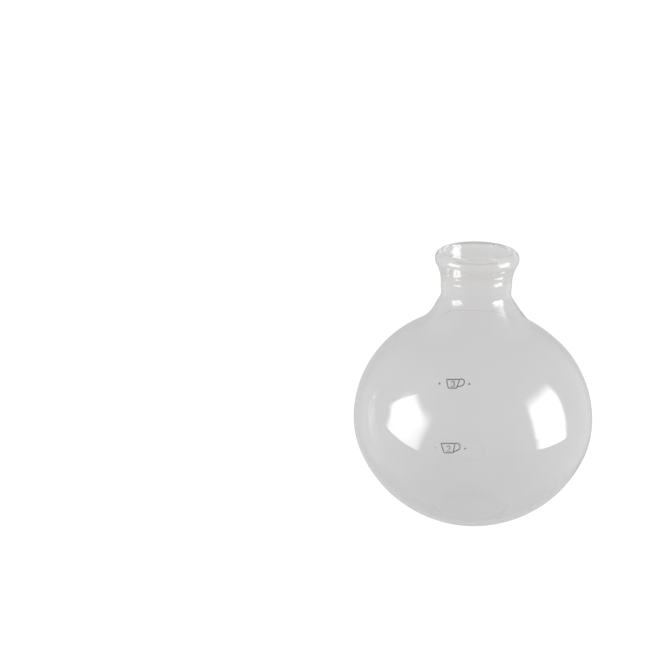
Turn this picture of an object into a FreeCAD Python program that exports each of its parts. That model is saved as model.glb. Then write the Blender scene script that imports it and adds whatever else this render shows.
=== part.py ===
# Lower bowl of a siphon coffee maker: one piece of blown heat-proof glass.
# Millimetres and degrees, +Z up through the mouth, origin at the middle of the flat foot.
import FreeCAD
import Part
import Sketcher
import math
import os
from types import SimpleNamespace

# Driving dimensions: name, size, what it measures
SIZES = (
    ("belly_diameter", 98.0, "outside diameter at the widest circle"),
    ("lower_arc_radius", 32.7, "outside arc just below the widest circle"),
    ("lower_arc_angle", 20.7, "turn of that arc, in degrees, before the flatter bottom takes over"),
    ("upper_arc_radius", 44.3, "outside arc from the widest circle up to the shoulder"),
    ("body_wall", 1.5, "glass of the round body"),
    ("foot_diameter", 27.5, "flat that the bowl stands on"),
    ("foot_corner_radius", 7.3, "outside rounding between foot and bottom"),
    ("floor_thickness", 2.0, "glass over the foot"),
    ("floor_corner_radius", 5.5, "inside rounding at the edge of the floor"),
    ("shoulder_radius", 21.1, "outside hollow curve from body to neck"),
    ("neck_bore", 25.0, "straight inside diameter of the neck, which takes the bung"),
    ("neck_wall", 1.75, "glass of the neck"),
    ("neck_straight", 0.9, "straight stretch of the neck's outside"),
    ("flare_radius", 15.4, "outside hollow curve from neck to lip"),
    ("lip_overhang", 2.55, "how far the lip stands out past the neck"),
    ("lip_side_radius", 5.2, "outside of the lip below its widest circle"),
    ("lip_top_radius", 3.0, "outside of the lip above its widest circle"),
    ("lip_wall", 3.4, "glass at the lip's widest circle"),
    ("mouth_round_radius", 1.0, "fire-polished inner edge of the mouth"),
    ("mouth_flare_depth", 5.0, "height over which the mouth narrows to the bore"),
)

# A sketch numbers the points of a line or arc from 0 up, and its own origin and upright axis from -1 down
POINTS = ("edge", "start", "end", "centre")
SKETCH_OWN = ("origin", "upright_axis")
ORIGIN = ("origin", "start")


def make_sheet(doc):
    sheet = doc.addObject("Spreadsheet::Sheet", "sizes")
    for row, (name, value, meaning) in enumerate(SIZES, start=1):
        sheet.set(f"A{row}", name)
        sheet.set(f"B{row}", str(value))
        sheet.set(f"C{row}", meaning)
        sheet.setAlias(f"B{row}", name)
    doc.recompute()
    return SimpleNamespace(**{name: sheet.get(name) for name, _, _ in SIZES})


def heading(origin, target):
    return math.atan2(target[1] - origin[1], target[0] - origin[0])


def reach(longest, across):
    """The upright side of a right triangle with this longest side and this width."""
    return math.sqrt(longest ** 2 - across ** 2)


def arc(centre, radius, first_angle, last_angle):
    circle = Part.Circle(FreeCAD.Vector(*centre, 0), FreeCAD.Vector(0, 0, 1), radius)
    return Part.ArcOfCircle(circle, first_angle, last_angle)


def line(first, last):
    return Part.LineSegment(FreeCAD.Vector(*first, 0), FreeCAD.Vector(*last, 0))


def draw_section(size):
    """The wall's half section, (radius, height), as named lines and arcs in order round the glass.

    Every curve runs into the next without a kink, so each joint lies on the line through two centres.
    """
    belly = size.belly_diameter / 2
    foot = size.foot_diameter / 2
    bore = size.neck_bore / 2
    neck = bore + size.neck_wall
    lip = neck + size.lip_overhang
    mouth = lip - size.lip_wall

    # Foot, bottom and belly
    lower_turn = math.radians(size.lower_arc_angle)
    belly_inset = belly - size.lower_arc_radius
    bottom_radius = size.lower_arc_radius + belly_inset / math.cos(lower_turn)
    corner = (foot, size.foot_corner_radius)
    bottom = (0, corner[1] + reach(bottom_radius - size.foot_corner_radius, foot))
    belly_height = bottom[1] - belly_inset * math.tan(lower_turn)
    lower = (belly_inset, belly_height)
    upper = (belly - size.upper_arc_radius, belly_height)

    # Shoulder, neck and lip
    shoulder_out = neck + size.shoulder_radius
    shoulder = (shoulder_out,
                belly_height + reach(size.upper_arc_radius + size.shoulder_radius, shoulder_out - upper[0]))
    neck_top = shoulder[1] + size.neck_straight
    flare = (neck + size.flare_radius, neck_top)
    lip_side_out = lip - size.lip_side_radius
    lip_height = neck_top + reach(size.flare_radius + size.lip_side_radius, flare[0] - lip_side_out)
    lip_side = (lip_side_out, lip_height)
    lip_top = (lip - size.lip_top_radius, lip_height)
    rim_out = mouth + size.mouth_round_radius
    rim = (rim_out, lip_height + reach(size.lip_top_radius - size.mouth_round_radius, rim_out - lip_top[0]))
    bore_top = rim[1] - size.mouth_flare_depth

    # Inside of the shoulder and the floor
    inner_shoulder_radius = size.shoulder_radius + size.body_wall
    inner_upper_radius = size.upper_arc_radius - size.body_wall
    inner_shoulder_out = bore + inner_shoulder_radius
    inner_shoulder = (inner_shoulder_out,
                      belly_height + reach(inner_upper_radius + inner_shoulder_radius,
                                           inner_shoulder_out - upper[0]))
    inner_bottom_radius = bottom_radius - size.body_wall
    floor = size.floor_thickness
    floor_corner_height = floor + size.floor_corner_radius
    floor_corner = (reach(inner_bottom_radius - size.floor_corner_radius, bottom[1] - floor_corner_height),
                    floor_corner_height)

    straight_down = -math.pi / 2
    inward = math.pi
    to_corner = heading(bottom, corner)
    to_shoulder = heading(upper, shoulder)
    to_lip = heading(flare, lip_side)
    to_rim = heading(lip_top, rim)
    to_inner_shoulder = heading(upper, inner_shoulder)
    to_floor_corner = heading(bottom, floor_corner)

    return {
        "foot": line((0, 0), (foot, 0)),
        "foot_corner": arc(corner, size.foot_corner_radius, straight_down, to_corner),
        "bottom": arc(bottom, bottom_radius, to_corner, -lower_turn),
        "lower": arc(lower, size.lower_arc_radius, -lower_turn, 0),
        "upper": arc(upper, size.upper_arc_radius, 0, to_shoulder),
        "shoulder": arc(shoulder, size.shoulder_radius, inward, inward + to_shoulder),
        "neck": line((neck, shoulder[1]), (neck, neck_top)),
        "flare": arc(flare, size.flare_radius, to_lip, inward),
        "lip_side": arc(lip_side, size.lip_side_radius, to_lip - inward, 0),
        "lip_top": arc(lip_top, size.lip_top_radius, 0, to_rim),
        "rim": arc(rim, size.mouth_round_radius, to_rim, inward),
        "mouth": line((mouth, rim[1]), (bore, bore_top)),
        "bore": line((bore, bore_top), (bore, inner_shoulder[1])),
        "inner_shoulder": arc(inner_shoulder, inner_shoulder_radius, inward, inward + to_inner_shoulder),
        "inner_upper": arc(upper, inner_upper_radius, 0, to_inner_shoulder),
        "inner_lower": arc(lower, size.lower_arc_radius - size.body_wall, -lower_turn, 0),
        "inner_bottom": arc(bottom, inner_bottom_radius, to_floor_corner, -lower_turn),
        "floor_corner": arc(floor_corner, size.floor_corner_radius, straight_down, to_floor_corner),
        "floor": line((floor_corner[0], floor), (0, floor)),
        "axis": line((0, floor), (0, 0)),
    }


# Joints round the section: a piece and its point, then the next piece and its point
SMOOTH_JOINTS = (
    ("foot", "end", "foot_corner", "start"),
    ("foot_corner", "end", "bottom", "start"),
    ("bottom", "end", "lower", "start"),
    ("lower", "end", "upper", "start"),
    ("upper", "end", "shoulder", "end"),
    ("shoulder", "start", "neck", "start"),
    ("neck", "end", "flare", "end"),
    ("flare", "start", "lip_side", "start"),
    ("lip_side", "end", "lip_top", "start"),
    ("lip_top", "end", "rim", "start"),
    ("bore", "end", "inner_shoulder", "start"),
    ("inner_shoulder", "end", "inner_upper", "end"),
    ("inner_upper", "start", "inner_lower", "end"),
    ("inner_lower", "start", "inner_bottom", "end"),
    ("inner_bottom", "start", "floor_corner", "end"),
    ("floor_corner", "start", "floor", "start"),
)
PLAIN_JOINTS = (
    ("rim", "end", "mouth", "start"),
    ("mouth", "end", "bore", "start"),
    ("floor", "end", "axis", "start"),
    ("axis", "end", "foot", "start"),
)
LEVEL_LINES = ("foot", "floor")
UPRIGHT_LINES = ("neck", "bore", "axis")
SHARED_CENTRES = (("inner_upper", "upper"), ("inner_lower", "lower"), ("inner_bottom", "bottom"))

# Points level with the centre of their arc, so that the glass stands upright there
UPRIGHT_POINTS = (("lower", "end"), ("lip_side", "end"), ("rim", "end"))

# Sizes of the section, as formulas of the sheet
NECK = "(sizes.neck_bore / 2 + sizes.neck_wall)"
LIP = f"({NECK} + sizes.lip_overhang)"
RADII = {
    "foot_corner": "sizes.foot_corner_radius",
    "lower": "sizes.lower_arc_radius",
    "upper": "sizes.upper_arc_radius",
    "shoulder": "sizes.shoulder_radius",
    "flare": "sizes.flare_radius",
    "lip_side": "sizes.lip_side_radius",
    "lip_top": "sizes.lip_top_radius",
    "rim": "sizes.mouth_round_radius",
    "inner_shoulder": "sizes.shoulder_radius + sizes.body_wall",
    "inner_upper": "sizes.upper_arc_radius - sizes.body_wall",
    "floor_corner": "sizes.floor_corner_radius",
}
WIDTHS = {
    "foot_edge": ("foot", "end", "sizes.foot_diameter / 2"),
    "belly": ("lower", "end", "sizes.belly_diameter / 2"),
    "neck_outside": ("neck", "start", NECK),
    "lip_outside": ("lip_side", "end", LIP),
    "mouth_inside": ("rim", "end", f"{LIP} - sizes.lip_wall"),
    "bore_inside": ("bore", "start", "sizes.neck_bore / 2"),
}
RISES = {
    "neck_straight": ("neck", "start", "neck", "end", "sizes.neck_straight"),
    "mouth_flare": ("mouth", "end", "mouth", "start", "sizes.mouth_flare_depth"),
    "floor_height": ("foot", "start", "floor", "end", "sizes.floor_thickness"),
}


def make_sketch(body, size):
    """The wall's section, drawn on the upright plane and tied to the sheet."""
    sketch = body.newObject("Sketcher::SketchObject", "wall_section")
    upright_plane = next(plane for plane in body.Origin.OriginFeatures if plane.Role == "XZ_Plane")
    sketch.AttachmentSupport = [(upright_plane, "")]
    sketch.MapMode = "FlatFace"
    section = draw_section(size)
    number = {name: -1 - place for place, name in enumerate(SKETCH_OWN)}
    number |= {name: sketch.addGeometry(shape) for name, shape in section.items()}

    def numbered(term):
        return POINTS.index(term) if term in POINTS else number.get(term, term)

    def fix(kind, *terms):
        return sketch.addConstraint(Sketcher.Constraint(kind, *map(numbered, terms)))

    def tie(constraint, name, formula):
        sketch.renameConstraint(constraint, name)
        sketch.setExpression(f"Constraints.{name}", formula)

    def place(name, point):
        return section[name].StartPoint if point == "start" else section[name].EndPoint

    for joint in SMOOTH_JOINTS:
        fix("Tangent", *joint)
    for joint in PLAIN_JOINTS:
        fix("Coincident", *joint)
    for name in LEVEL_LINES:
        fix("Horizontal", name)
    for name in UPRIGHT_LINES:
        fix("Vertical", name)
    for inner, outer in SHARED_CENTRES:
        fix("Coincident", inner, "centre", outer, "centre")
    for name, point in UPRIGHT_POINTS:
        fix("Horizontal", name, "centre", name, point)
    fix("Coincident", "foot", "start", *ORIGIN)
    fix("PointOnObject", "bottom", "centre", "upright_axis")
    turn = fix("Angle", "lower", math.radians(size.lower_arc_angle))
    tie(turn, "lower_turn", "sizes.lower_arc_angle * 1 deg")
    for name, formula in RADII.items():
        tie(fix("Radius", name, section[name].Radius), f"{name}_radius", formula)
    for label, (name, point, formula) in WIDTHS.items():
        tie(fix("DistanceX", *ORIGIN, name, point, place(name, point).x), label, formula)
    for label, (low, low_point, high, high_point, formula) in RISES.items():
        rise = place(high, high_point).y - place(low, low_point).y
        tie(fix("DistanceY", low, low_point, high, high_point, rise), label, formula)
    return sketch


def make_bowl(doc, size):
    body = doc.addObject("PartDesign::Body", "glass_bowl")
    sketch = make_sketch(body, size)
    blown_wall = body.newObject("PartDesign::Revolution", "blown_wall")
    blown_wall.Profile = sketch
    blown_wall.ReferenceAxis = (sketch, ["V_Axis"])
    blown_wall.Angle = 360
    return body


def check(doc, bodies):
    for item in doc.Objects:
        if "Invalid" in item.State or "Error" in item.State:
            raise RuntimeError(f"{item.Label} did not build: {item.State}")
    for body in bodies:
        if body.Shape.isNull() or not body.Shape.isValid() or len(body.Shape.Solids) != 1:
            raise RuntimeError(f"{body.Label} is not one valid solid")


doc = FreeCAD.newDocument("siphon_bowl")
size = make_sheet(doc)
bodies = [make_bowl(doc, size)]
doc.recompute()
check(doc, bodies)
os.makedirs("parts", exist_ok=True)
for body in bodies:
    body.Shape.exportStep(f"parts/{body.Label}.step")
    print(f"{body.Label}: {body.Shape.Volume / 1000:.1f} ml of glass")
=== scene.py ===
import math

import bpy
from mathutils import Matrix, Vector


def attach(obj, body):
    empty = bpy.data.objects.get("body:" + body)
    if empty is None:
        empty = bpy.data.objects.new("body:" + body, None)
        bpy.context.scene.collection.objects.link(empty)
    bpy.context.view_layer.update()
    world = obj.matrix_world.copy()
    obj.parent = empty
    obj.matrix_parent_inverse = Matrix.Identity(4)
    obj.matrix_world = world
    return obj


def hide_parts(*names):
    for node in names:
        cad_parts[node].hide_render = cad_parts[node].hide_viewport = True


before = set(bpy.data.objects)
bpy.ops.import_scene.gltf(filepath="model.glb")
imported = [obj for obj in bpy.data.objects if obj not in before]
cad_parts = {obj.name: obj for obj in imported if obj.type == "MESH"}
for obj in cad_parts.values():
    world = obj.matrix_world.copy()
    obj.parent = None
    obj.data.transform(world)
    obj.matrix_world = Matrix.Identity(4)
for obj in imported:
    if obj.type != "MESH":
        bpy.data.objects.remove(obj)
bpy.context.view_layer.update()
MM = 0.001

# Sizes of the glass in millimetres, the same as in the solid
BELLY_DIAMETER = 98.0
LOWER_ARC_RADIUS = 32.7
LOWER_ARC_TURN = math.radians(20.7)
UPPER_ARC_RADIUS = 44.3
BODY_WALL = 1.5
FOOT_DIAMETER = 27.5
FOOT_CORNER_RADIUS = 7.3
FLOOR_THICKNESS = 2.0
FLOOR_CORNER_RADIUS = 5.5
SHOULDER_RADIUS = 21.1
NECK_BORE = 25.0
NECK_WALL = 1.75
NECK_STRAIGHT = 0.9
FLARE_RADIUS = 15.4
LIP_OVERHANG = 2.55
LIP_SIDE_RADIUS = 5.2
LIP_TOP_RADIUS = 3.0
LIP_WALL = 3.4
MOUTH_ROUND_RADIUS = 1.0
MOUTH_FLARE_DEPTH = 5.0

# The corner at the foot of the mouth is melted away over this further height
MOUTH_EASE = 3.7

# How finely the glass is turned, and how near points are to be welded, in metres
TURN_STEPS = 256
BODY_STEP = math.radians(1.8)
EDGE_STEP = math.radians(5.0)
FOOT_STEPS = 6
NECK_STEPS = 3
MOUTH_STEPS = 24
BORE_STEPS = 12
WELD_DISTANCE = 1e-6

# Forming rings that the tool leaves on the inside of the neck, in millimetres
RING_DEPTH = 0.035
RING_SPACING = 2.85
RINGS_FROM = 89.8
RINGS_TO = 110.8

# How far the rings stray from an even spacing, and how fast that changes up the neck, in radians
RING_STRAY = 1.3
RING_STRAY_RATE = 4.0

# The blown shoulder is tighter under the neck, by rings of (height, reach, outward) in millimetres
TIGHT_RINGS = ((94.9, 2.3, -0.69),)

# It is also fuller on one bearing, by rings of the same kind
FULL_RINGS = ((86.8, 5.0, 1.37), (76.5, 5.5, -0.41))
FULL_BEARING = math.radians(-20.0)

# Slow waves of the blown wall: how far in millimetres, how many to the metre, and how fine
WAVE_DEPTH = 0.09
WALL_WAVE_DEPTH = 0.15
WAVE_SCALE = 35.0
WAVE_DETAIL = 1.0

# The inside has waves of its own, taken from another place in the same noise
WALL_WAVE_SHIFT = (0.37, 0.11, 0.59)

# Values that the start meshes carry and the finished meshes don't
WORKING_VALUES = ("line_width", "fullness", "inside")

# Ink of the level marks, in millimetres on the glass, and the radius in metres from which it is laid on
INK_LINE = 0.45
NUMERAL_LINE = 0.36
INK_THICKNESS = 0.03
INK_SUNK = 0.008
INK_LAID_FROM = 0.12
DOT_SIDES = 20

# How the level marks are drawn, in millimetres and radians
MARK_TILT = math.radians(6.0)
NUMERAL_BREADTH = 1.3
NUMERAL_STEP = math.radians(20.0)
NUMERAL_OPENING = math.radians(165.0)
HANDLE_STEPS = 5
CUP_ROUNDING = 0.32
CUP_TOP_STEPS = 12
CUP_SIDE_STEPS = 8
CUP_CORNER_STEPS = 4

# The two marks: each one's drawing, with dots as (place, radius), and its place on the glass
THREE_MARK = {
    "cup": ((-2.66, 1.74), (2.66, 1.74), (1.51, -1.74), (-1.6, -1.74)),
    "handle": ((2.62, 1.65), (3.48, 1.88), (4.35, 1.28), (4.49, 0.46), (3.76, -0.69), (1.88, -1.19)),
    "numeral_middle": (0.0, -0.02),
    "dots": (((-5.24, -0.07), 0.41), ((6.39, -0.23), 0.41)),
    "bearing": math.radians(-108.1),
    "height": 70.4,
    "surface_radius": 38.65,
    "upright_share": 0.775,
}
TWO_MARK = {
    "cup": ((-2.7, 1.83), (2.7, 1.83), (1.83, -1.83), (-1.65, -1.83)),
    "handle": ((2.67, 1.74), (3.66, 1.89), (4.35, 1.4), (4.58, 0.64), (4.26, -0.46), (1.97, -1.47)),
    "numeral_middle": (0.12, -0.12),
    "dots": (((-4.95, 0.05), 0.22), ((6.5, -0.23), 0.35)),
    "bearing": math.radians(-106.8),
    "height": 48.0,
    "surface_radius": 48.45,
    "upright_share": 0.99,
}

# Camera
FOCAL_PIXELS = 1400.0
FRAME_PIXELS = 645.0
SENSOR = 36.0
CAMERA_PLACE = Vector((-0.06176, -0.53852, 0.26068))
CAMERA_DOWN = math.radians(18.23)
CAMERA_ROLL = math.radians(-0.19)

# The studio as the glass shows it: through the wall, and mirrored from the back and from the sides
THROUGH_STRENGTH = 0.62
BACK_STRENGTH = 0.60
SIDE_STRENGTH = 1.0

# Sideways share of a direction over which the mirrored studio brightens
SIDE_FROM = 0.45
SIDE_TO = 0.8

# Past this many turns a ray in the glass leaves it straight
LAST_TURN = 8.0

# Past this many turns a ray no longer sees the lamps
LAMP_LAST_TURN = 7

# Glass, and its tints with the heights in millimetres over which those of the neck and foot come in. Their
# faint grey is painted shade, standing in for the grey surround seen through the clear glass
GLASS_IOR = 1.47
BODY_SHADE_TINT_LOW = (0.940, 0.932, 0.936, 1)
BODY_SHADE_TINT_HIGH = (0.976, 0.968, 0.972, 1)
LIP_SHADE_TINT = (0.985, 0.980, 0.976, 1)
LIP_SHADE_TINT_FROM = 86.0
LIP_SHADE_TINT_TO = 97.0
FOOT_SHADE_TINT = (0.914, 0.907, 0.911, 1)
FOOT_SHADE_TINT_FROM = 24.0
FOOT_SHADE_TINT_TO = 8.0
STRAIGHT_TINT = (0.9, 0.9, 0.9, 1)

# Streaks between the two tints of the body, drawn out upwards
STREAK_SCALE = 49.0
STREAK_DETAIL = 2.0
STREAK_STRETCH = (1.0, 1.0, 0.3)

# Ink
INK_DARK = (0.10, 0.10, 0.105, 1)
INK_PALE = (0.20, 0.20, 0.21, 1)
INK_GRAIN_SCALE = 1530.0
INK_GRAIN_DETAIL = 3.0
INK_ROUGHNESS = 0.55

# Stage
WHITE = (1, 1, 1, 1)
LIGHT_STRENGTH = 0.5
FLOOR_HALF = 40.0
FLOOR_LEVEL = -0.0002
FLOOR_COLOUR = (0.2, 0.2, 0.2, 1)
FLOOR_GLOW = 0.9
FLOOR_THROUGH = 0.515
LAMP_AIM = Vector((0, 0, 0.0458))
LAMP_DISTANCE = 0.916
LAMP_FADE_TOP = 0.45
LAMP_FADE_SIDE = 0.2


# Small helpers
def shader_node(tree, kind, settings=None, **inputs):
    """Adds a node; an input is a value, or a socket to link to it."""
    node = tree.nodes.new(kind)
    for name, value in (settings or {}).items():
        setattr(node, name, value)
    for name, value in inputs.items():
        key = int(name[1:]) if name[0] == "i" and name[1:].isdigit() else name.replace("_", " ")
        if isinstance(value, bpy.types.NodeSocket):
            tree.links.new(value, node.inputs[key])
        else:
            node.inputs[key].default_value = value
    return node


def math_node(tree, operation, *terms):
    inputs = {f"i{n}": term for n, term in enumerate(terms)}
    return shader_node(tree, "ShaderNodeMath", {"operation": operation}, **inputs).outputs[0]


def smooth_range(tree, value, first, last, low=0.0, high=1.0):
    """Goes smoothly from low at the first value to high at the last."""
    node = shader_node(tree, "ShaderNodeMapRange", {"interpolation_type": "SMOOTHSTEP"}, Value=value,
                       From_Min=first, From_Max=last, To_Min=low, To_Max=high)
    return node.outputs["Result"]


def chosen(tree, condition, no, yes):
    """One of two values, by a condition that is 0 or 1."""
    node = shader_node(tree, "ShaderNodeMapRange", Value=condition, To_Min=no, To_Max=yes)
    return node.outputs["Result"]


def colour_mix(tree, factor, first, second):
    node = shader_node(tree, "ShaderNodeMix", {"data_type": "RGBA"}, Factor=factor, i6=first, i7=second)
    return node.outputs[2]


def new_material(name):
    material = bpy.data.materials.new(name)
    material.use_nodes = True
    material.node_tree.nodes.clear()
    return material


def reach(longest, across):
    """The upright side of a right triangle with this longest side and this width."""
    return math.sqrt(longest ** 2 - across ** 2)


def heading(origin, target):
    return math.atan2(target[1] - origin[1], target[0] - origin[0])


def arc(centre, radius, first, last, step):
    """Points along an arc, both ends included."""
    count = max(2, math.ceil(abs(last - first) / step))
    angles = (first + (last - first) * i / count for i in range(count + 1))
    return [(centre[0] + radius * math.cos(a), centre[1] + radius * math.sin(a)) for a in angles]


def straight(first, last, count):
    """Points along a straight stretch, both ends included."""
    return [tuple(a + (b - a) * i / count for a, b in zip(first, last)) for i in range(count + 1)]


def eased(first, last, count):
    """Points from one upright stretch to another with no corner at either end."""
    path = []
    for i in range(count + 1):
        t = i / count
        out = first[0] + (last[0] - first[0]) * t * t * (3 - 2 * t)
        up = first[1] + (last[1] - first[1]) * t
        path.append((out, up))
    return path


# The glass bowl
def forming_ring(height):
    """The faint rings inside the neck, which fade out at both ends, in millimetres."""
    share = (height - RINGS_FROM) / (RINGS_TO - RINGS_FROM)
    if not 0 < share < 1:
        return 0.0
    turn = 2 * math.pi * (height - RINGS_FROM) / RING_SPACING
    stray = RING_STRAY * math.sin(RING_STRAY_RATE * share)
    return RING_DEPTH * math.sin(math.pi * share) * math.sin(turn + stray)


def wall_section():
    """The half section (radius, height), up the outside and down the inside, with 1 for inside points."""
    belly = BELLY_DIAMETER / 2
    foot = FOOT_DIAMETER / 2
    bore = NECK_BORE / 2
    neck = bore + NECK_WALL
    lip = neck + LIP_OVERHANG
    mouth = lip - LIP_WALL
    inset = belly - LOWER_ARC_RADIUS

    # Centres of the arcs
    bottom_radius = LOWER_ARC_RADIUS + inset / math.cos(LOWER_ARC_TURN)
    corner = (foot, FOOT_CORNER_RADIUS)
    bottom = (0, FOOT_CORNER_RADIUS + reach(bottom_radius - FOOT_CORNER_RADIUS, foot))
    belly_height = bottom[1] - inset * math.tan(LOWER_ARC_TURN)
    lower = (inset, belly_height)
    upper = (belly - UPPER_ARC_RADIUS, belly_height)
    shoulder_out = neck + SHOULDER_RADIUS
    shoulder_rise = reach(UPPER_ARC_RADIUS + SHOULDER_RADIUS, shoulder_out - upper[0])
    shoulder = (shoulder_out, belly_height + shoulder_rise)
    flare = (neck + FLARE_RADIUS, shoulder[1] + NECK_STRAIGHT)
    lip_rise = reach(FLARE_RADIUS + LIP_SIDE_RADIUS, flare[0] - lip + LIP_SIDE_RADIUS)
    lip_side = (lip - LIP_SIDE_RADIUS, flare[1] + lip_rise)
    lip_top = (lip - LIP_TOP_RADIUS, lip_side[1])
    rim_out = mouth + MOUTH_ROUND_RADIUS
    rim = (rim_out, lip_top[1] + reach(LIP_TOP_RADIUS - MOUTH_ROUND_RADIUS, rim_out - lip_top[0]))
    inner_out = bore + SHOULDER_RADIUS + BODY_WALL
    inner_rise = reach(UPPER_ARC_RADIUS + SHOULDER_RADIUS, inner_out - upper[0])
    inner_shoulder = (inner_out, belly_height + inner_rise)
    inner_bottom_radius = bottom_radius - BODY_WALL
    floor_corner_height = FLOOR_THICKNESS + FLOOR_CORNER_RADIUS
    floor_corner_out = reach(inner_bottom_radius - FLOOR_CORNER_RADIUS, bottom[1] - floor_corner_height)
    floor_corner = (floor_corner_out, floor_corner_height)

    # Directions in which the arcs meet
    down, inward = -math.pi / 2, math.pi
    to_corner = heading(bottom, corner)
    to_shoulder = heading(upper, shoulder)
    to_lip = heading(flare, lip_side)
    to_rim = heading(lip_top, rim)
    to_inner = heading(upper, inner_shoulder)
    to_floor = heading(bottom, floor_corner)
    turn = -LOWER_ARC_TURN
    bore_top = (bore, rim[1] - MOUTH_FLARE_DEPTH - MOUTH_EASE)

    outside_runs = (
        straight((0, 0), (foot, 0), FOOT_STEPS),
        arc(corner, FOOT_CORNER_RADIUS, down, to_corner, BODY_STEP * 2),
        arc(bottom, bottom_radius, to_corner, turn, BODY_STEP),
        arc(lower, LOWER_ARC_RADIUS, turn, 0, BODY_STEP),
        arc(upper, UPPER_ARC_RADIUS, 0, to_shoulder, BODY_STEP),
        arc(shoulder, SHOULDER_RADIUS, inward + to_shoulder, inward, BODY_STEP * 2),
        straight((neck, shoulder[1]), (neck, flare[1]), NECK_STEPS),
        arc(flare, FLARE_RADIUS, inward, to_lip, BODY_STEP * 2),
        arc(lip_side, LIP_SIDE_RADIUS, to_lip - inward, 0, BODY_STEP * 2),
        arc(lip_top, LIP_TOP_RADIUS, 0, to_rim, EDGE_STEP),
        arc(rim, MOUTH_ROUND_RADIUS, to_rim, inward, EDGE_STEP * 2),
    )
    inside_runs = (
        eased((mouth, rim[1]), bore_top, MOUTH_STEPS),
        straight(bore_top, (bore, inner_shoulder[1]), BORE_STEPS),
        arc(inner_shoulder, SHOULDER_RADIUS + BODY_WALL, inward, inward + to_inner, BODY_STEP),
        arc(upper, UPPER_ARC_RADIUS - BODY_WALL, to_inner, 0, BODY_STEP),
        arc(lower, LOWER_ARC_RADIUS - BODY_WALL, 0, turn, BODY_STEP),
        arc(bottom, inner_bottom_radius, turn, to_floor, BODY_STEP),
        arc(floor_corner, FLOOR_CORNER_RADIUS, to_floor, down, BODY_STEP * 2),
        straight((floor_corner[0], FLOOR_THICKNESS), (0, FLOOR_THICKNESS), FOOT_STEPS),
    )
    points = [outside_runs[0][0]]
    inside = [0.0]
    for runs, within in ((outside_runs, 0.0), (inside_runs, 1.0)):
        for run in runs:
            points.extend(run[1:])
            inside.extend([within] * (len(run) - 1))
    return points, inside


def ring_shift(rings, height):
    """How far the rings push the glass out at this height, in millimetres."""
    return sum(outward * math.exp(-((height - middle) / span) ** 2) for middle, span, outward in rings)


class Builder:
    """Adds nodes to a geometry tree and links what they are given."""

    def __init__(self, name):
        self.tree = bpy.data.node_groups.new(name, "GeometryNodeTree")
        self.tree.is_modifier = True
        self.tree.interface.new_socket("Geometry", in_out="INPUT", socket_type="NodeSocketGeometry")
        self.tree.interface.new_socket("Geometry", in_out="OUTPUT", socket_type="NodeSocketGeometry")
        self.start = self.tree.nodes.new("NodeGroupInput")
        self.end = self.tree.nodes.new("NodeGroupOutput")

    def size(self, name, kind="NodeSocketFloat"):
        self.tree.interface.new_socket(name, in_out="INPUT", socket_type=kind)
        return self.start.outputs[name]

    def add(self, kind, settings=None, **inputs):
        return shader_node(self.tree, kind, settings, **inputs)

    def math(self, operation, *terms):
        return math_node(self.tree, operation, *terms)

    def vector_sum(self, first, second):
        return self.add("ShaderNodeVectorMath", {"operation": "ADD"}, i0=first, i1=second).outputs[0]

    def scaled(self, vector, factor):
        return self.add("ShaderNodeVectorMath", {"operation": "SCALE"}, i0=vector, Scale=factor).outputs[0]

    def vector(self, x, y, z):
        return self.add("ShaderNodeCombineXYZ", X=x, Y=y, Z=z).outputs[0]

    def attribute(self, name):
        node = self.add("GeometryNodeInputNamedAttribute", {"data_type": "FLOAT"}, Name=name)
        return node.outputs["Attribute"]

    def noise(self, place, scale):
        """Slow noise from about -1 to 1."""
        texture = self.add("ShaderNodeTexNoise", Vector=place, Scale=scale, Detail=WAVE_DETAIL)
        return self.math("MULTIPLY_ADD", texture.outputs[0], 2.0, -1.0)

    def finish(self, geometry, material):
        made = self.add("GeometryNodeSetMaterial", Geometry=geometry, Material=material)
        self.tree.links.new(made.outputs["Geometry"], self.end.inputs["Geometry"])
        return self.tree


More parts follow.
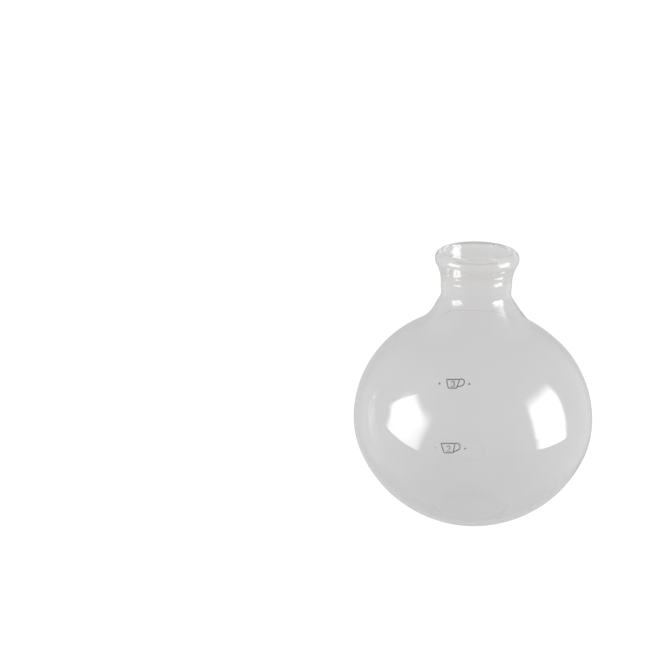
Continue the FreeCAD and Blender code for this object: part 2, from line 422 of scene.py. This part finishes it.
def lathe_tree():
    """Turns a section, a chain of points (radius, 0, height), into a closed, slightly uneven wall."""
    b = Builder("bowl_lathe")
    turn_steps = b.size("Turn Steps", "NodeSocketInt")
    section_points = b.size("Section Points", "NodeSocketInt")
    full_bearing = b.size("Full Bearing")
    wave_depth = b.size("Wave Depth")
    wall_wave_depth = b.size("Wall Wave Depth")
    wave_scale = b.size("Wave Scale")
    steady_radius = b.size("Steady Radius")
    glass = b.size("Glass", "NodeSocketMaterial")
    section = b.start.outputs["Geometry"]

    # A grid with one row for each point of the section
    columns = b.math("ADD", turn_steps, 1.0)
    grid = b.add("GeometryNodeMeshGrid", Vertices_X=section_points, Vertices_Y=columns)
    index = b.add("GeometryNodeInputIndex").outputs["Index"]
    row = b.math("FLOOR", b.math("DIVIDE", b.math("ADD", index, 0.5), columns))
    column = b.math("SUBTRACT", index, b.math("MULTIPLY", row, columns))
    share = b.math("DIVIDE", b.math("FLOORED_MODULO", column, turn_steps), turn_steps)
    angle = b.math("MULTIPLY", share, 2 * math.pi)

    def of_row(value, kind):
        sample = b.add("GeometryNodeSampleIndex", {"data_type": kind, "domain": "POINT"},
                       Geometry=section, Value=value, Index=row)
        return sample.outputs["Value"]

    place = b.add("GeometryNodeInputPosition").outputs["Position"]
    parts = b.add("ShaderNodeSeparateXYZ", Vector=of_row(place, "FLOAT_VECTOR"))
    radius, height = parts.outputs["X"], parts.outputs["Z"]
    fullness = of_row(b.attribute("fullness"), "FLOAT")
    inside = of_row(b.attribute("inside"), "FLOAT")
    cosine, sine = b.math("COSINE", angle), b.math("SINE", angle)

    # Unevenness, which dies away towards the middle of the foot
    turned = b.vector(b.math("MULTIPLY", radius, cosine), b.math("MULTIPLY", radius, sine), height)
    weight = b.math("MULTIPLY_ADD", b.math("COSINE", b.math("SUBTRACT", angle, full_bearing)), 0.5, 0.5)
    bulge = b.math("MULTIPLY", fullness, weight)
    wave = b.math("MULTIPLY", b.noise(turned, wave_scale), wave_depth)
    shifted = b.vector_sum(turned, WALL_WAVE_SHIFT)
    wall_wave = b.math("MULTIPLY", b.noise(shifted, wave_scale), wall_wave_depth)
    uneven = b.math("MULTIPLY_ADD", wall_wave, inside, b.math("ADD", bulge, wave))
    steady = b.math("MINIMUM", b.math("DIVIDE", radius, steady_radius), 1.0)
    blown = b.math("MULTIPLY_ADD", uneven, steady, radius)
    moved = b.vector(b.math("MULTIPLY", blown, cosine), b.math("MULTIPLY", blown, sine), height)

    wall = b.add("GeometryNodeSetPosition", Geometry=grid.outputs["Mesh"], Position=moved)
    closed = b.add("GeometryNodeMergeByDistance", Geometry=wall.outputs["Geometry"],
                   Distance=WELD_DISTANCE)
    outward = b.add("GeometryNodeFlipFaces", Mesh=closed.outputs["Geometry"])
    smooth = b.add("GeometryNodeSetShadeSmooth", Geometry=outward.outputs["Mesh"], Shade_Smooth=True)
    return b.finish(smooth.outputs["Geometry"], glass)


def ink_tree():
    """Lays a flat drawing of strokes and dots on the outside of the glass as thin closed ink."""
    b = Builder("level_mark_ink")
    bowl = b.size("Bowl", "NodeSocketObject")
    bearing = b.size("Bearing")
    height = b.size("Height")
    tilt = b.size("Tilt")
    surface_radius = b.size("Surface Radius")
    upright_share = b.size("Upright Share")
    laid_from = b.size("Laid From")
    thickness = b.size("Ink Thickness")
    sunk = b.size("Ink Sunk")
    ink = b.size("Ink", "NodeSocketMaterial")
    drawing = b.start.outputs["Geometry"]
    line_width = b.attribute("line_width")

    # Strokes follow the edges of the drawing, dots stand on its loose points
    strokes = b.add("GeometryNodeMeshToCurve", Mesh=drawing)
    upright = b.add("GeometryNodeSetCurveNormal", {"mode": "Z_UP"}, Curve=strokes.outputs["Curve"])
    nib = b.add("GeometryNodeCurvePrimitiveQuadrilateral", Width=1.0, Height=1.0)
    drawn = b.add("GeometryNodeCurveToMesh", Curve=upright.outputs["Curve"],
                  Profile_Curve=nib.outputs["Curve"], Scale=line_width, Fill_Caps=True)
    neighbours = b.add("GeometryNodeInputMeshVertexNeighbors").outputs["Vertex Count"]
    loose = b.math("LESS_THAN", neighbours, 0.5)
    disc = b.add("GeometryNodeMeshCylinder", Vertices=DOT_SIDES, Radius=1.0, Depth=1.0)
    dots = b.add("GeometryNodeInstanceOnPoints", Points=drawing, Selection=loose,
                 Instance=disc.outputs["Mesh"], Scale=line_width)
    real_dots = b.add("GeometryNodeRealizeInstances", Geometry=dots.outputs["Instances"])
    both = b.tree.nodes.new("GeometryNodeJoinGeometry")
    for geometry in (drawn.outputs["Mesh"], real_dots.outputs["Geometry"]):
        b.tree.links.new(geometry, both.inputs["Geometry"])

    # Each point is cast onto the glass from outside
    place = b.add("GeometryNodeInputPosition").outputs["Position"]
    flat = b.add("ShaderNodeSeparateXYZ", Vector=place)
    across, up = flat.outputs["X"], flat.outputs["Y"]
    cosine, sine = b.math("COSINE", tilt), b.math("SINE", tilt)
    turned_across = b.math("SUBTRACT", b.math("MULTIPLY", across, cosine), b.math("MULTIPLY", up, sine))
    turned_up = b.math("ADD", b.math("MULTIPLY", across, sine), b.math("MULTIPLY", up, cosine))
    angle = b.math("ADD", bearing, b.math("DIVIDE", turned_across, surface_radius))
    level = b.math("MULTIPLY_ADD", turned_up, upright_share, height)
    outward = b.vector(b.math("COSINE", angle), b.math("SINE", angle), 0.0)
    source = b.vector_sum(b.scaled(outward, laid_from), b.vector(0.0, 0.0, level))
    glass = b.add("GeometryNodeObjectInfo", Object=bowl)
    hit = b.add("GeometryNodeRaycast", Target_Geometry=glass.outputs["Geometry"], Source_Position=source,
                Ray_Direction=b.scaled(outward, -1.0), Ray_Length=laid_from)
    on_top = b.math("GREATER_THAN", flat.outputs["Z"], 0.0)
    proud = b.math("SUBTRACT", b.math("MULTIPLY", on_top, thickness), sunk)
    lifted = b.scaled(hit.outputs["Hit Normal"], proud)
    laid = b.add("GeometryNodeSetPosition", Geometry=both.outputs["Geometry"],
                 Position=b.vector_sum(hit.outputs["Hit Position"], lifted))
    return b.finish(laid.outputs["Geometry"], ink)


def run_tree(name, start_mesh, tree, values):
    """Runs a tree on the start mesh and returns the result as a plain mesh object."""
    source = bpy.data.objects.new(name + "_start", start_mesh)
    bpy.context.scene.collection.objects.link(source)
    modifier = source.modifiers.new("tree", "NODES")
    modifier.node_group = tree
    for item in tree.interface.items_tree:
        if item.in_out == "INPUT" and item.name in values:
            modifier[item.identifier] = values[item.name]
    bpy.context.view_layer.update()
    evaluated = source.evaluated_get(bpy.context.evaluated_depsgraph_get())
    mesh = bpy.data.meshes.new_from_object(evaluated)
    mesh.name = name
    bpy.data.objects.remove(source)
    for extra in [a.name for a in mesh.attributes if a.name in WORKING_VALUES]:
        mesh.attributes.remove(mesh.attributes[extra])
    piece = bpy.data.objects.new(name, mesh)
    bpy.context.scene.collection.objects.link(piece)
    return piece


def give_points(mesh, name, values):
    mesh.attributes.new(name, "FLOAT", "POINT").data.foreach_set("value", values)


def make_bowl(glass):
    points, inside = wall_section()
    bent = [(radius + ring_shift(TIGHT_RINGS, height) + within * forming_ring(height), height)
            for (radius, height), within in zip(points, inside)]
    section = bpy.data.meshes.new("wall_section")
    section.from_pydata([(radius * MM, 0, height * MM) for radius, height in bent],
                        [(i, i + 1) for i in range(len(points) - 1)], [])
    give_points(section, "fullness", [ring_shift(FULL_RINGS, height) * MM for _, height in points])
    give_points(section, "inside", inside)
    return run_tree("bowl_glass", section, lathe_tree(), {
        "Turn Steps": TURN_STEPS,
        "Section Points": len(points),
        "Full Bearing": FULL_BEARING,
        "Wave Depth": WAVE_DEPTH * MM,
        "Wall Wave Depth": WALL_WAVE_DEPTH * MM,
        "Wave Scale": WAVE_SCALE,
        "Steady Radius": FOOT_DIAMETER * MM,
        "Glass": glass,
    })


# Level marks: a cup outline with its handle, a numeral in it and a dot on each side
def smooth_path(points):
    """A smooth open path through the points."""
    padded = [points[0], *points, points[-1]]
    path = []
    for before, first, last, after in zip(padded, padded[1:], padded[2:], padded[3:]):
        for step in range(HANDLE_STEPS):
            t = step / HANDLE_STEPS
            path.append(tuple(
                0.5 * (2 * p1 + (p2 - p0) * t + (2 * p0 - 5 * p1 + 4 * p2 - p3) * t ** 2
                       + (3 * p1 - p0 - 3 * p2 + p3) * t ** 3)
                for p0, p1, p2, p3 in zip(before, first, last, after)))
    return path + [points[-1]]


def broadened(path):
    return [(x * NUMERAL_BREADTH, y) for x, y in path]


def numeral_three():
    """Two bows, one on the other."""
    quarter = math.radians(90)
    upper_radius, lower_radius = 0.5, 0.55
    upper = arc((0, upper_radius), upper_radius, NUMERAL_OPENING, -quarter, NUMERAL_STEP)
    lower = arc((0, -lower_radius), lower_radius, quarter, -NUMERAL_OPENING, NUMERAL_STEP)
    return broadened(upper + lower[1:])


def numeral_two():
    """A bow that runs down into a flat foot."""
    bow_radius, bow_height, bow_end = 0.55, 0.42, math.radians(-35)
    foot_left, foot_right, foot_height = -0.58, 0.62, -1.05
    bow = arc((0, bow_height), bow_radius, NUMERAL_OPENING, bow_end, NUMERAL_STEP)
    return broadened(bow + [(foot_left, foot_height), (foot_right, foot_height)])


def rounded_cup(corners):
    """The cup's outline as a closed path, with its two lower corners rounded."""
    top_left, top_right, low_right, low_left = corners
    path = straight(top_left, top_right, CUP_TOP_STEPS)
    for before, corner, after in ((top_right, low_right, low_left), (low_right, low_left, top_left)):
        near, far = (Vector(p) - Vector(corner) for p in (before, after))
        first = Vector(corner) + near.normalized() * CUP_ROUNDING
        last = Vector(corner) + far.normalized() * CUP_ROUNDING
        path += straight(path[-1], tuple(first), CUP_SIDE_STEPS)[1:]
        for step in range(1, CUP_CORNER_STEPS + 1):
            t = step / CUP_CORNER_STEPS
            bent = first * (1 - t) ** 2 + Vector(corner) * 2 * t * (1 - t) + last * t ** 2
            path.append(tuple(bent))
    return path + straight(path[-1], top_left, CUP_SIDE_STEPS)[1:-1]


def make_level_mark(name, mark, numeral, bowl, ink):
    across, up = mark["numeral_middle"]
    strokes = (
        (rounded_cup(mark["cup"]), True, INK_LINE),
        (smooth_path(mark["handle"]), False, INK_LINE),
        ([(x + across, y + up) for x, y in numeral], False, NUMERAL_LINE),
    )
    points, edges, widths = [], [], []
    for path, closed, width in strokes:
        first = len(points)
        points += path
        widths += [width * MM] * len(path)
        edges += [(i, i + 1) for i in range(first, len(points) - 1)]
        if closed:
            edges.append((len(points) - 1, first))
    for place, radius in mark["dots"]:
        points.append(place)
        widths.append(radius * MM)
    drawing = bpy.data.meshes.new(name + "_drawing")
    drawing.from_pydata([(x * MM, y * MM, 0) for x, y in points], edges, [])
    give_points(drawing, "line_width", widths)
    piece = run_tree(name, drawing, ink_tree(), {
        "Bowl": bowl,
        "Bearing": mark["bearing"],
        "Height": mark["height"] * MM,
        "Tilt": MARK_TILT,
        "Surface Radius": mark["surface_radius"] * MM,
        "Upright Share": mark["upright_share"],
        "Laid From": INK_LAID_FROM,
        "Ink Thickness": INK_THICKNESS * MM,
        "Ink Sunk": INK_SUNK * MM,
        "Ink": ink,
    })
    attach(piece, "root")


# Finishes
def clear_glass():
    """Clear glass with a faint grey of painted shade, clearest at the lip and deepest at the foot, with
    slow streaks.
    """
    material = new_material("clear_blown_glass")
    tree = material.node_tree
    place = tree.nodes.new("ShaderNodeTexCoord").outputs["Object"]
    height = shader_node(tree, "ShaderNodeSeparateXYZ", Vector=place).outputs["Z"]
    stretched = shader_node(tree, "ShaderNodeMapping", Vector=place, Scale=STREAK_STRETCH)
    streaks = shader_node(tree, "ShaderNodeTexNoise", Vector=stretched.outputs["Vector"],
                          Scale=STREAK_SCALE, Detail=STREAK_DETAIL)
    # Painted shade: the grey base colour stands in for the grey surround seen through the glass, deepest
    # at the foot and faintest at the lip
    body = colour_mix(tree, streaks.outputs[0], BODY_SHADE_TINT_LOW, BODY_SHADE_TINT_HIGH)
    toward_foot = smooth_range(tree, height, FOOT_SHADE_TINT_FROM * MM, FOOT_SHADE_TINT_TO * MM)
    low = colour_mix(tree, toward_foot, body, FOOT_SHADE_TINT)
    toward_lip = smooth_range(tree, height, LIP_SHADE_TINT_FROM * MM, LIP_SHADE_TINT_TO * MM)
    shade_tint = colour_mix(tree, toward_lip, low, LIP_SHADE_TINT)
    surface = shader_node(tree, "ShaderNodeBsdfPrincipled", Base_Color=shade_tint, Roughness=0.0, IOR=GLASS_IOR,
                          Transmission_Weight=1.0)
    clear = shader_node(tree, "ShaderNodeBsdfTransparent", Color=STRAIGHT_TINT)
    path = tree.nodes.new("ShaderNodeLightPath")
    late = math_node(tree, "GREATER_THAN", path.outputs["Ray Depth"], LAST_TURN)
    passes = math_node(tree, "MAXIMUM", path.outputs["Is Shadow Ray"], late)
    mix = shader_node(tree, "ShaderNodeMixShader", Fac=passes, i1=surface.outputs["BSDF"],
                      i2=clear.outputs["BSDF"])
    shader_node(tree, "ShaderNodeOutputMaterial", Surface=mix.outputs["Shader"])
    return material


def mark_ink():
    """Fired grey ink, a little thinner in places."""
    material = new_material("fired_grey_ink")
    tree = material.node_tree
    place = tree.nodes.new("ShaderNodeTexCoord").outputs["Object"]
    grain = shader_node(tree, "ShaderNodeTexNoise", Vector=place, Scale=INK_GRAIN_SCALE,
                        Detail=INK_GRAIN_DETAIL)
    tone = colour_mix(tree, grain.outputs[0], INK_DARK, INK_PALE)
    surface = shader_node(tree, "ShaderNodeBsdfPrincipled", Base_Color=tone, Roughness=INK_ROUGHNESS)
    shader_node(tree, "ShaderNodeOutputMaterial", Surface=surface.outputs["BSDF"])
    return material


# Stage
def white_world():
    """White to the camera, pale and uneven to the glass, and plain light for the rest."""
    world = bpy.data.worlds.new("white_surround")
    bpy.context.scene.world = world
    world.use_nodes = True
    tree = world.node_tree
    tree.nodes.clear()
    path = tree.nodes.new("ShaderNodeLightPath")
    camera_ray = path.outputs["Is Camera Ray"]
    glossy_ray = path.outputs["Is Glossy Ray"]
    transmission_ray = path.outputs["Is Transmission Ray"]
    direction = tree.nodes.new("ShaderNodeTexCoord").outputs["Generated"]
    across = shader_node(tree, "ShaderNodeSeparateXYZ", Vector=direction).outputs["X"]
    sideways = math_node(tree, "ABSOLUTE", across)
    mirrored = smooth_range(tree, sideways, SIDE_FROM, SIDE_TO, BACK_STRENGTH, SIDE_STRENGTH)
    shown = chosen(tree, transmission_ray, mirrored, THROUGH_STRENGTH)
    strength = math_node(tree, "MAXIMUM", shown, camera_ray)
    seen = shader_node(tree, "ShaderNodeBackground", Color=WHITE, Strength=strength)
    light = shader_node(tree, "ShaderNodeBackground", Color=WHITE, Strength=LIGHT_STRENGTH)
    direct = math_node(tree, "MAXIMUM", camera_ray, glossy_ray)
    any_seen = math_node(tree, "MAXIMUM", direct, transmission_ray)
    mix = shader_node(tree, "ShaderNodeMixShader", Fac=any_seen, i1=light.outputs["Background"],
                      i2=seen.outputs["Background"])
    shader_node(tree, "ShaderNodeOutputWorld", Surface=mix.outputs["Shader"])


def white_floor():
    """A matt floor that glows white, a little less where it is seen through the glass."""
    half, level = FLOOR_HALF, FLOOR_LEVEL
    corners = [(-half, -half, level), (half, -half, level), (half, half, level), (-half, half, level)]
    mesh = bpy.data.meshes.new("floor")
    mesh.from_pydata(corners, [], [(0, 1, 2, 3)])
    floor = bpy.data.objects.new("floor", mesh)
    bpy.context.scene.collection.objects.link(floor)
    material = new_material("white_floor")
    tree = material.node_tree
    matt = shader_node(tree, "ShaderNodeBsdfDiffuse", Color=FLOOR_COLOUR)
    path = tree.nodes.new("ShaderNodeLightPath")
    strength = chosen(tree, path.outputs["Is Transmission Ray"], FLOOR_GLOW, FLOOR_THROUGH)
    glow = shader_node(tree, "ShaderNodeEmission", Strength=strength)
    both = shader_node(tree, "ShaderNodeAddShader", i0=matt.outputs["BSDF"], i1=glow.outputs["Emission"])
    shader_node(tree, "ShaderNodeOutputMaterial", Surface=both.outputs["Shader"])
    mesh.materials.append(material)
    floor.visible_glossy = False


def softbox(name, bearing, height, width, tall, tilt, watts):
    """A soft rectangular lamp that faces the bowl; angles in degrees, the bearing from front to right."""
    bearing, height, tilt = map(math.radians, (bearing, height, tilt))
    level_reach = math.cos(height)
    away = Vector((math.sin(bearing) * level_reach, -math.cos(bearing) * level_reach, math.sin(height)))
    lamp = bpy.data.lights.new(name, "AREA")
    lamp.shape = "RECTANGLE"
    lamp.size = width
    lamp.size_y = tall
    lamp.energy = watts
    lamp.use_nodes = True

    # The face fades towards its sides and its top
    tree = lamp.node_tree
    glow = next(node for node in tree.nodes if node.type == "EMISSION")
    spot = tree.nodes.new("ShaderNodeNewGeometry").outputs["Parametric"]
    place = shader_node(tree, "ShaderNodeSeparateXYZ", Vector=spot)
    aside = math_node(tree, "ABSOLUTE", math_node(tree, "SUBTRACT", place.outputs["X"], 0.5))
    side = smooth_range(tree, aside, 0.5, 0.5 - LAMP_FADE_SIDE)
    top = smooth_range(tree, place.outputs["Y"], 1.0, 1.0 - LAMP_FADE_TOP)
    fade = math_node(tree, "MULTIPLY", side, top)
    turns = tree.nodes.new("ShaderNodeLightPath").outputs["Ray Depth"]
    early = math_node(tree, "LESS_THAN", turns, LAMP_LAST_TURN + 0.5)
    tree.links.new(math_node(tree, "MULTIPLY", fade, early), glow.inputs["Strength"])

    thing = bpy.data.objects.new(name, lamp)
    turn = away.to_track_quat("Z", "Y").to_matrix() @ Matrix.Rotation(tilt, 3, "Z")
    thing.matrix_world = Matrix.Translation(LAMP_AIM + away * LAMP_DISTANCE) @ turn.to_4x4()
    thing.visible_camera = False
    bpy.context.scene.collection.objects.link(thing)
    return thing


def add_camera():
    camera = bpy.data.cameras.new("photo_camera")
    camera.sensor_fit = "HORIZONTAL"
    camera.sensor_width = SENSOR
    camera.lens = FOCAL_PIXELS / FRAME_PIXELS * SENSOR
    camera.clip_start = 0.01
    thing = bpy.data.objects.new("photo_camera", camera)
    turn = Matrix.Rotation(math.pi / 2 - CAMERA_DOWN, 4, "X") @ Matrix.Rotation(CAMERA_ROLL, 4, "Z")
    thing.matrix_world = Matrix.Translation(CAMERA_PLACE) @ turn
    bpy.context.scene.collection.objects.link(thing)
    bpy.context.scene.camera = thing


add_camera()
white_world()
white_floor()
softbox("right_softbox", bearing=72.5, height=12.0, width=0.72, tall=0.86, tilt=0.0, watts=18.0)
left_lamp = softbox("left_softbox", bearing=-68.0, height=10.0, width=0.77, tall=0.72, tilt=-15.0,
                    watts=14.0)

# Seen through the glass, the left lamp would cut white gaps in the edge of the lip
left_lamp.visible_transmission = False

bowl = make_bowl(clear_glass())
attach(bowl, "root")
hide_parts("glass_bowl")
ink = mark_ink()
make_level_mark("level_mark_three", THREE_MARK, numeral_three(), bowl, ink)
make_level_mark("level_mark_two", TWO_MARK, numeral_two(), bowl, ink)

scene = bpy.context.scene
scene.view_settings.view_transform = "Standard"
scene.cycles.max_bounces = 32
scene.cycles.glossy_bounces = 16
scene.cycles.transmission_bounces = 24
